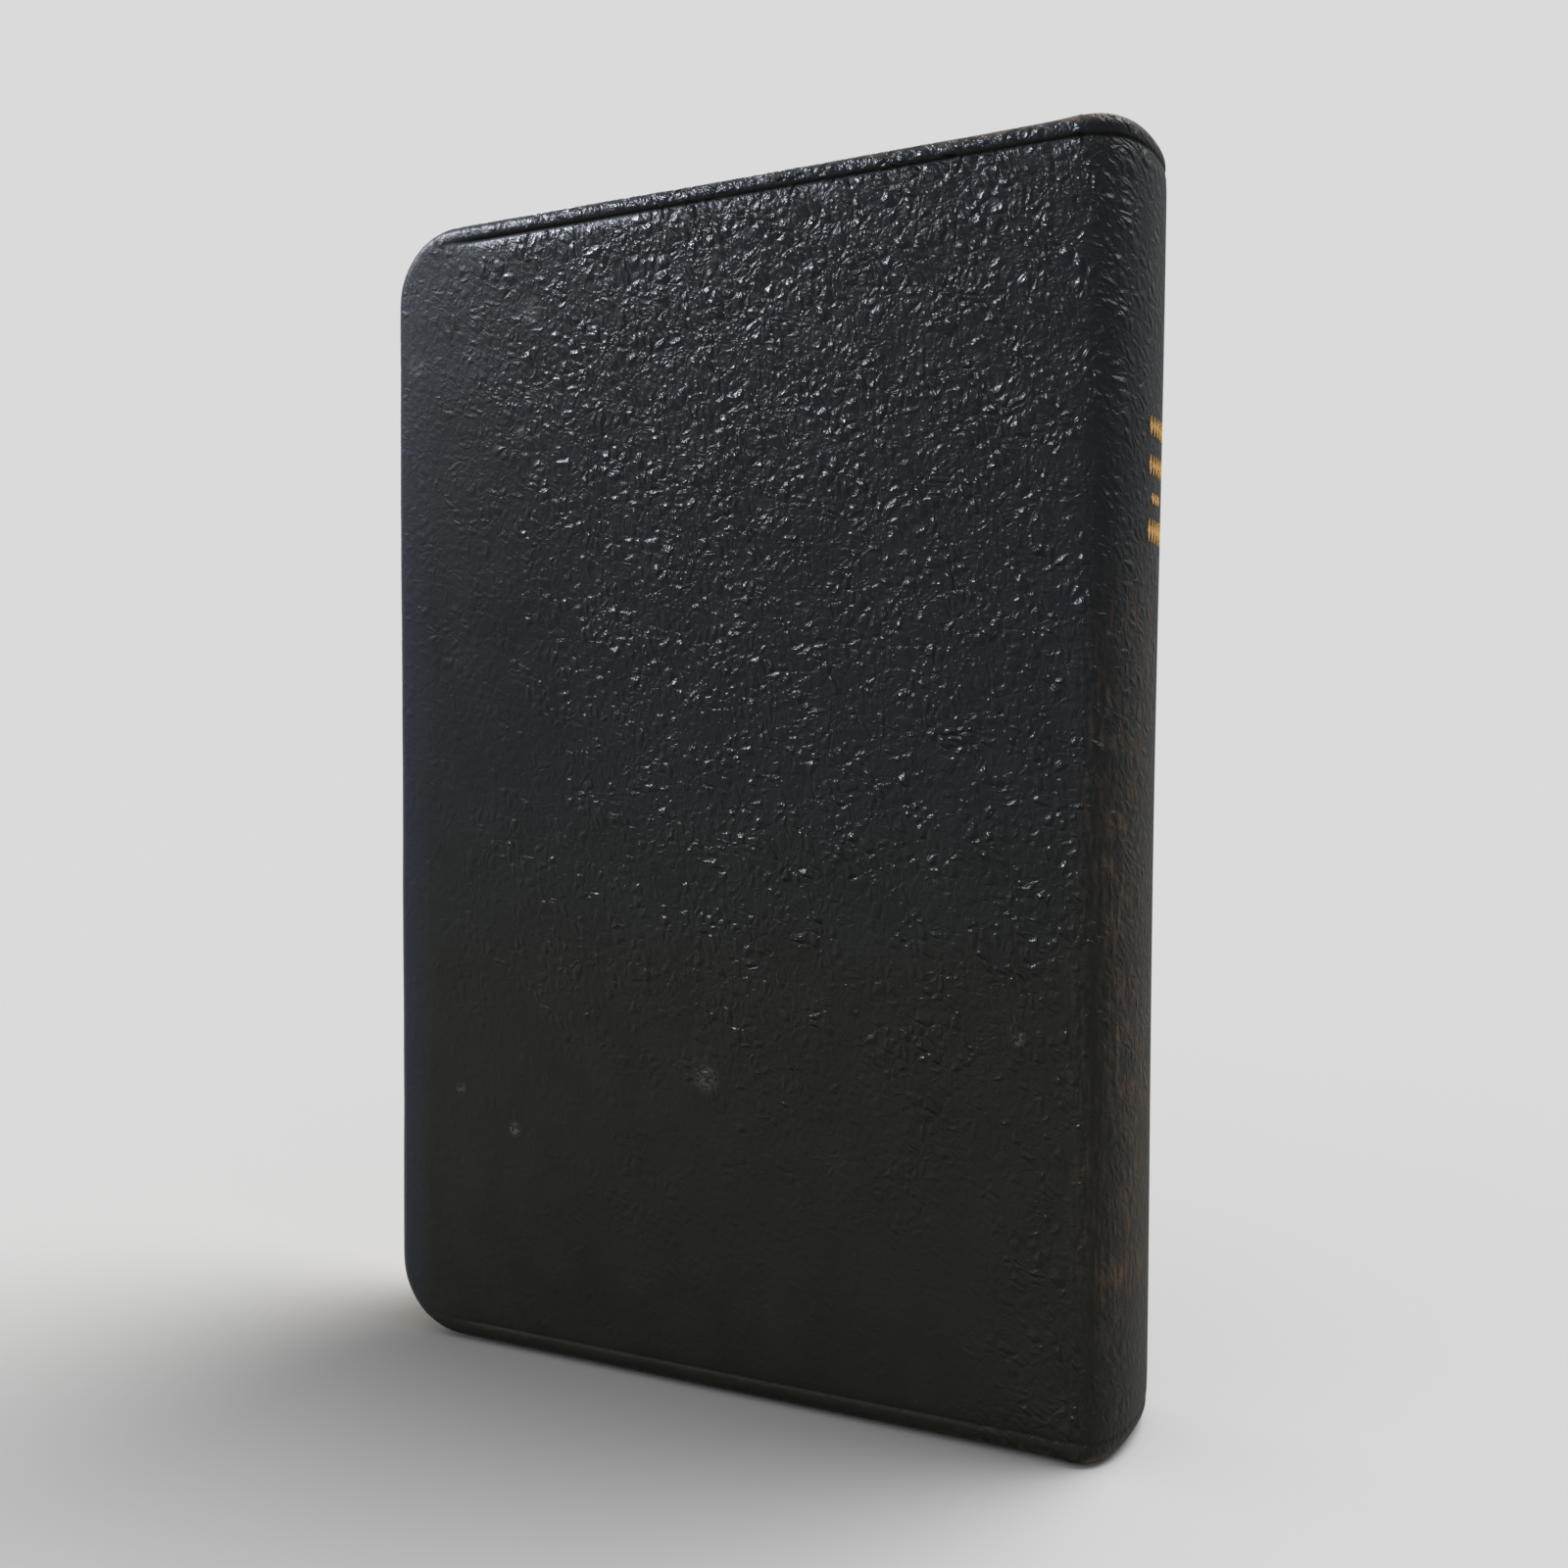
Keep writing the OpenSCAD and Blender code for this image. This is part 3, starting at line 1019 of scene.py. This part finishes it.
    def spine(self) -> bpy.types.Object:
        """Models the leather over the spine, with its worn caps and blind lines.

        Returns:
            The skin.
        """
        form = self.form
        skin = self._arch("spine_skin", form.half_thickness, self.shell_t, 0.0, form.height, self.shell_t * 0.95)
        for line in self.lines():
            factor = 1 - self._press(line) / form.half_thickness
            skin.choose("VERT", lambda v, z=line: near(v.co.z, z) and near(
                math.hypot((v.co.x - form.joint_x) / form.bow, v.co.y / form.half_thickness), 1.0, 0.02))
            skin.stretch((factor, factor, 1.0), (form.joint_x, 0.0, line))
        skin.choose("EDGE", at_x(form.joint_x)).crease()
        skin.modified("SUBSURF", levels=1, render_levels=1)
        skin.note("hide", form.unrolled).shift(form.settled)
        skin.smooth(60).dress(self.leather)
        return skin.down()

    def inlay(self) -> bpy.types.Object:
        """Models the card that stiffens the spine, bent to the inside of the leather.

        Returns:
            The card.
        """
        form = self.form
        low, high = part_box("spine_inlay")
        card = self._arch("spine_card", form.half_thickness - self.shell_t - self.card_gap, self.card_t,
                          low.z, high.z, self.card_roll)
        card.whole()
        bpy.ops.mesh.bisect(plane_co=(form.joint_x + self.card_start, 0.0, 0.0), plane_no=(1, 0, 0), use_fill=True,
                            clear_inner=True)
        card.shift(form.settled).smooth(40).dress(self.card)
        return card.down()

    def _soften(self, skin: Piece) -> None:
        """Gives a cover the slight unevenness of a limp board, fading out towards the joint."""
        form = self.form
        clouds = bpy.data.textures.new(f"{skin.body.name}_hand", "CLOUDS")
        clouds.noise_scale = self.limp_pitch
        group = skin.body.vertex_groups.new(name="limp")
        for vertex in skin.body.data.vertices:
            fade = min(1.0, max(0.0, (form.joint_x - vertex.co.x) / self.limp_fade))
            group.add([vertex.index], fade, "REPLACE")
        skin.modified("DISPLACE", texture=clouds, texture_coords="GLOBAL", strength=self.limpness, mid_level=0.5,
                      vertex_group="limp")
        skin.body.vertex_groups.clear()

    def make(self) -> None:
        """Builds the three skins and the spine card, and hangs the spine skin and the card on the back body."""
        spine = self.spine()
        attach(spine, "book_back")
        stand_in(spine, "leather", "spine_leather")
        card = self.inlay()
        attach(card, "book_back")
        stand_in(card, "card", "spine_inlay")
        form = self.form
        for side in Side:
            skin = self.cover(side)
            form.joint_x - self.flap
            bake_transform(skin)
            stand_in(skin, "leather", f"{side.word}_cover_leather")
            LOG.info("skin of the %s cover", side.word)


@dataclass
class Tooling:
    """Gilt lozenges on the spine, in the rows where such a book has its title."""

    form: Form
    foil: bpy.types.Material
    rows_mm: tuple[tuple[int, float, float], ...] = (
        (5, 98.0, 2.6), (3, 101.45, 1.3), (5, 104.9, 2.2), (5, 109.0, 2.2))
    width: float = 0.9 * MM
    thickness: float = 0.16 * MM
    proud: float = 0.13 * MM
    spacing: float = 1.25
    rim: float = 0.13
    hollow: float = 0.4

    def _lozenge(self, angle: float, z: float, height: float) -> bpy.types.Object:
        """Models one pressed lozenge with a hollowed face.

        Args:
            angle: Angle off the crown, in radians.
            z: Height of its middle.
            height: Its height.

        Returns:
            The lozenge.
        """
        tile = Piece("lozenge", lambda: bpy.ops.mesh.primitive_cylinder_add(
            vertices=4, radius=0.5, depth=1.0, location=(0, 0, 0), rotation=(0, RIGHT_ANGLE, 0)))
        tile.choose("FACE", lambda f: f.normal.x > 0.9)
        bpy.ops.mesh.inset(thickness=self.rim)
        tile.slide((-self.hollow, 0.0, 0.0))
        tile.choose("EDGE", lambda e: e.calc_face_angle(0.0) > 1.0).bevel(0.04, 2)
        form = self.form
        base = Vector((form.joint_x + form.bow * math.cos(angle), form.half_thickness * math.sin(angle), z))
        out = Vector((math.cos(angle) / form.bow, math.sin(angle) / form.half_thickness, 0.0)).normalized()
        along = Vector((-out.y, out.x, 0.0))

        def laid(point: Vector) -> Vector:
            """Place of the tile's point on the settled spine."""
            lift = out * (point.x * self.thickness + self.proud - self.thickness / 2)
            return form.settled(base + lift + along * point.y * self.width + Vector((0.0, 0.0, point.z * height)))

        tile.shift(laid)
        return tile.down()

    def make(self) -> None:
        """Lays every row and joins the lozenges into one piece."""
        step = self.spacing * self.width / self.form.half_thickness
        tiles = [self._lozenge((k - (count - 1) / 2) * step, z * MM, height * MM)
                 for count, z, height in self.rows_mm for k in range(count)]
        bpy.ops.object.select_all(action="DESELECT")
        for tile in tiles:
            tile.select_set(True)
        bpy.context.view_layer.objects.active = tiles[0]
        bpy.ops.object.join()
        joined = bpy.context.object
        joined.name = "spine_lozenges"
        joined.data.materials.append(self.foil)
        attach(joined, "book_back")
        stand_in(joined, "gilt", "spine_ornament")
        LOG.info("%d lozenges", len(tiles))


@dataclass
class Pages:
    """The gatherings, the flyleaves and the pasted endpapers."""

    form: Form
    paper: bpy.types.Material
    gilt: bpy.types.Material
    endpaper: bpy.types.Material
    moving: set[str]
    gatherings: int = 12
    bend: float = 12.0 * MM
    packing: float = 0.985
    fold_roll: float = 0.4 * MM
    leaf_grid: float = 8.0 * MM
    bend_grid: float = 1.0 * MM
    hollow_reach: float = 20.0 * MM
    fly_gap: float = 0.6 * MM
    fly_bend: float = 9.0 * MM
    margin: float = 4.0 * MM
    joint_margin: float = 3.2 * MM
    pasted_corner_r: float = 3.0 * MM
    pasted_sink: float = 0.05 * MM
    pasted_lift: float = 0.18 * MM

    def _rounded(self, piece: Piece, fore_x: float, radius: float) -> Piece:
        """Rounds the two fore-edge corners of a leaf."""
        at_fore = at_x(fore_x)
        return piece.choose("EDGE", lambda e: at_fore(e) and level(e, 2)).bevel(radius, 8)

    def gathering(self, index: int) -> bpy.types.Object:
        """Models one gathering from its fold to its fore-edge.

        Args:
            index: Number from the back, from 0.

        Returns:
            The gathering.
        """
        form = self.form
        name = f"gathering_{index + 1:02d}"
        low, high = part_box(name)
        middle = (low.y + high.y) / 2
        half = (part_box("gathering_12")[1].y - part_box("gathering_01")[0].y) / (2 * self.gatherings)
        back = form.fold_x(middle)
        at_back = at_x(back)
        leaves = Piece.block(f"{name}_leaves", (low.x, middle - half * self.packing, low.z),
                             (back, middle + half * self.packing, high.z))
        self._rounded(leaves, low.x, form.page_corner_r)
        leaves.choose("EDGE", lambda e: at_back(e) and level(e, 1)).bevel(self.fold_roll, 3)
        gutter = high.x
        bend_x = gutter - self.bend
        leaves.slices(0, steps(low.x, bend_x, self.leaf_grid))
        leaves.slices(0, steps(bend_x, gutter, self.bend_grid) + [bend_x, gutter])
        leaves.shift(lambda p: Vector((p.x + self._hollow(p, low.x, middle), p.y, p.z)))
        leaves.note("leaf", lambda p: p).smooth(30)
        leaves.dress(self.paper, self.gilt, second=lambda f: abs(f.normal.y) < 0.5)
        return leaves.down()

    def _hollow(self, point: Vector, fore_x: float, middle: float) -> float:
        """How far a point near the fore-edge shifts so that the edges of neighbours run on as one hollow."""
        share = max(0.0, 1 - (point.x - fore_x) / self.hollow_reach)
        return share * (self.form.fold_x(point.y) - self.form.fold_x(middle))

    def flyleaf(self, side: Side) -> bpy.types.Object:
        """Models the free half of an endpaper, held at the joint.

        Args:
            side: Which end of the book.

        Returns:
            The flyleaf.
        """
        form = self.form
        low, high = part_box(f"{side.word}_flyleaf")
        leaf = Piece.block(f"{side.word}_flyleaf_sheet", low, (form.joint_x - self.fly_gap, high.y, high.z))
        self._rounded(leaf, low.x, form.page_corner_r)
        bend_x = form.joint_x - self.fly_bend
        leaf.slices(0, steps(low.x, bend_x, 5 * MM) + steps(bend_x, form.joint_x, 0.7 * MM))
        leaf.smooth(30).dress(self.endpaper)
        return leaf.down()

    def pastedown(self, side: Side) -> bpy.types.Object:
        """Models the pasted half of an endpaper, over the turned-in leather.

        Args:
            side: Which cover.

        Returns:
            The pastedown.
        """
        form = self.form
        face = form.half_thickness - form.cover_t
        low_y, high_y = sorted(side.value * (face + depth) for depth in (self.pasted_sink, -self.pasted_lift))
        fore_x = self.margin - form.half_width
        sheet = Piece.block(f"{side.word}_endpaper", (fore_x, low_y, self.margin),
                            (form.joint_x - self.joint_margin, high_y, form.height - self.margin))
        self._rounded(sheet, fore_x, self.pasted_corner_r)
        sheet.choose("EDGE", lambda e: e.calc_face_angle(0.0) > 1.0 and level(e, 1)).bevel(0.05 * MM, 2)
        sheet.smooth(30).dress(self.endpaper)
        return sheet.down()

    def make(self) -> None:
        """Builds every leaf, and hangs the fixed gatherings on the back body and the pasted endpapers on their
        covers.
        """
        for index in range(self.gatherings):
            node = f"gathering_{index + 1:02d}"
            leaves = self.gathering(index)
            low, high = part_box(node)
            if node in self.moving:
                high.x - self.bend
                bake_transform(leaves)
            else:
                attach(leaves, "book_back")
            folds = ["sewn_folds"] if index == self.gatherings // 2 else []
            stand_in(leaves, "page_paper", node, *folds)
        for side in Side:
            leaf = self.flyleaf(side)
            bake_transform(leaf)
            stand_in(leaf, "endpaper", f"{side.word}_flyleaf")
            pasted = self.pastedown(side)
            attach(pasted, f"{side.word}_cover")
            stand_in(pasted, "endpaper", f"{side.word}_pastedown")
        LOG.info("%d gatherings, two flyleaves and two pasted endpapers", self.gatherings)


@dataclass
class Spinework:
    """What lies behind the leather: linings, tapes, thread and bands, carried over from the frame."""

    nodes: dict[str, bpy.types.Object]

    def make(self) -> None:
        """Gives each carried-over piece its finish."""
        tape = Weave("linen_tape", 0.5, (0.72, 0.64, 0.48), (0.35, 0.28, 0.18)).make()
        finishes = {
            "back_board": Board("millboard", (0.26, 0.2, 0.13)).make(),
            "spine_lining": Board("lining_paper", (0.5, 0.38, 0.23)).make(),
            "mull": Weave("mull_cloth", 1.1, (0.78, 0.73, 0.6), (0.4, 0.33, 0.22)).make(),
            "tape_lower": tape,
            "tape_middle": tape,
            "tape_upper": tape,
            "sewing_thread": Weave("linen_thread", 0.3, (0.8, 0.74, 0.6), (0.45, 0.38, 0.26)).make(),
            "head_band": Silk().make(),
            "tail_band": Silk().make(),
        }
        finishes["front_board"] = finishes["back_board"]
        for name, material in finishes.items():
            mesh = self.nodes[name].data
            mesh.materials.clear()
            mesh.materials.append(material)
        LOG.info("%d carried-over pieces finished", len(finishes))


# ---------------------------------------------------------------- studio


@dataclass
class Studio:
    """A wide pale floor, soft light and the camera. Angles are in degrees."""

    yaw: float = 26.3
    pitch: float = 1.48
    roll: float = 0.09
    eye: tuple[float, float, float] = (0.0862, -0.1684, 0.0754)
    lens: float = 36.0
    floor_size: float = 120.0
    floor_grey: float = 0.40
    sky_strength: float = 0.7
    sun_strength: float = 3.74
    sun_angle: float = 42.0
    sun_from: tuple[float, float, float] = (0.332, 0.332, 0.883)

    def camera(self) -> None:
        """Sets up the camera."""
        yaw, pitch, roll = (math.radians(a) for a in (self.yaw, self.pitch, self.roll))
        forward = Vector((-math.sin(yaw) * math.cos(pitch), math.cos(yaw) * math.cos(pitch), -math.sin(pitch)))
        right = Vector((math.cos(yaw), math.sin(yaw), 0.0))
        up = right.cross(forward)
        turned_right = math.cos(roll) * right + math.sin(roll) * up
        turned_up = -math.sin(roll) * right + math.cos(roll) * up
        rig = Matrix((turned_right, turned_up, -forward)).transposed().to_4x4()
        rig.translation = Vector(self.eye)
        data = bpy.data.cameras.new("camera")
        data.lens = self.lens
        data.sensor_width = 36.0
        data.clip_start = 0.01
        camera = self._placed("camera", data)
        camera.matrix_world = rig
        bpy.context.scene.camera = camera

    def _placed(self, name: str, data: Any) -> bpy.types.Object:
        """Puts a camera or a light into the scene."""
        made = bpy.data.objects.new(name, data)
        bpy.context.scene.collection.objects.link(made)
        return made

    def floor(self) -> None:
        """Lays a wide pale floor."""
        floor = Piece("floor", lambda: bpy.ops.mesh.primitive_plane_add(
            size=self.floor_size, location=(0, 0, -0.2 * MM)))
        dye = Dye("studio_paper")
        tooth = dye.noise(dye.place(), 3.0, 2.0)
        pale = dye.mix(tooth, (self.floor_grey,) * 3, (self.floor_grey * 1.005,) * 3)
        floor.dress(dye.finish(Base_Color=pale, Roughness=1.0, Specular_IOR_Level=0.0))
        floor.down()

    def _area(self, name: str, at: Sequence[float], towards: Sequence[float], size: float, power: float,
              colour: COLOUR) -> bpy.types.Object:
        """Adds one square softbox.

        Args:
            name: Name of the light.
            at: Its place.
            towards: Where it points.
            size: Its side.
            power: Its power in watts.
            colour: Its colour.

        Returns:
            The light.
        """
        data = bpy.data.lights.new(name, "AREA")
        data.size = size
        data.spread = math.radians(120)
        data.energy = power
        data.color = colour
        light = self._placed(name, data)
        light.location = at
        light.rotation_euler = (Vector(towards) - Vector(at)).to_track_quat("-Z", "Y").to_euler()
        return light

    def light(self) -> None:
        """Sets the surrounding light, the soft sun and the softboxes."""
        world = bpy.data.worlds.new("studio")
        bpy.context.scene.world = world
        world.use_nodes = True
        background = world.node_tree.nodes["Background"]
        background.inputs["Color"].default_value = (1.0, 1.0, 1.0, 1.0)
        background.inputs["Strength"].default_value = self.sky_strength
        sun = bpy.data.lights.new("soft_sun", "SUN")
        sun.energy = self.sun_strength
        sun.angle = math.radians(self.sun_angle)
        lamp = self._placed("soft_sun", sun)
        lamp.rotation_euler = (-Vector(self.sun_from)).to_track_quat("-Z", "Y").to_euler()
        window = self._area("window", (-0.80, -0.47, 0.86), (0.02, -0.01, 0.09), 0.16, 13.0, (0.84, 0.89, 1.0))
        far_window = self._area("far_window", (-0.78, 0.80, 0.50), (0.0, 0.01, 0.08), 0.8, 3.5, (0.90, 0.94, 1.0))
        kept_out = bpy.data.collections.new("outside_window_light")
        kept_out.objects.link(bpy.data.objects["floor"])
        for light in (window, far_window):
            light.light_linking.receiver_collection = kept_out
        kept_out.collection_objects[0].light_linking.link_state = "EXCLUDE"
        bpy.context.scene.view_settings.view_transform = "Standard"

    def make(self) -> None:
        """Builds the studio."""
        self.camera()
        self.floor()
        self.light()
        LOG.info("studio ready")


def main() -> None:
    """Builds the book in order."""
    logging.basicConfig(level=logging.INFO, format="%(name)s: %(message)s")
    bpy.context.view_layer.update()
    form = Form.read(frame["joints"])
    Binding(form, Leather().make(), Board("inlay_card").make()).make()
    Tooling(form, Foil().make()).make()
    Pages(form, Paper("book_paper").make(), GiltEdge().make(), Paper("endpaper", (0.66, 0.61, 0.49)).make(),
          {joint["child"] for joint in frame["joints"]}).make()
    Spinework(frame["nodes"]).make()
    Studio().make()


if __name__ == "__main__":
    main()
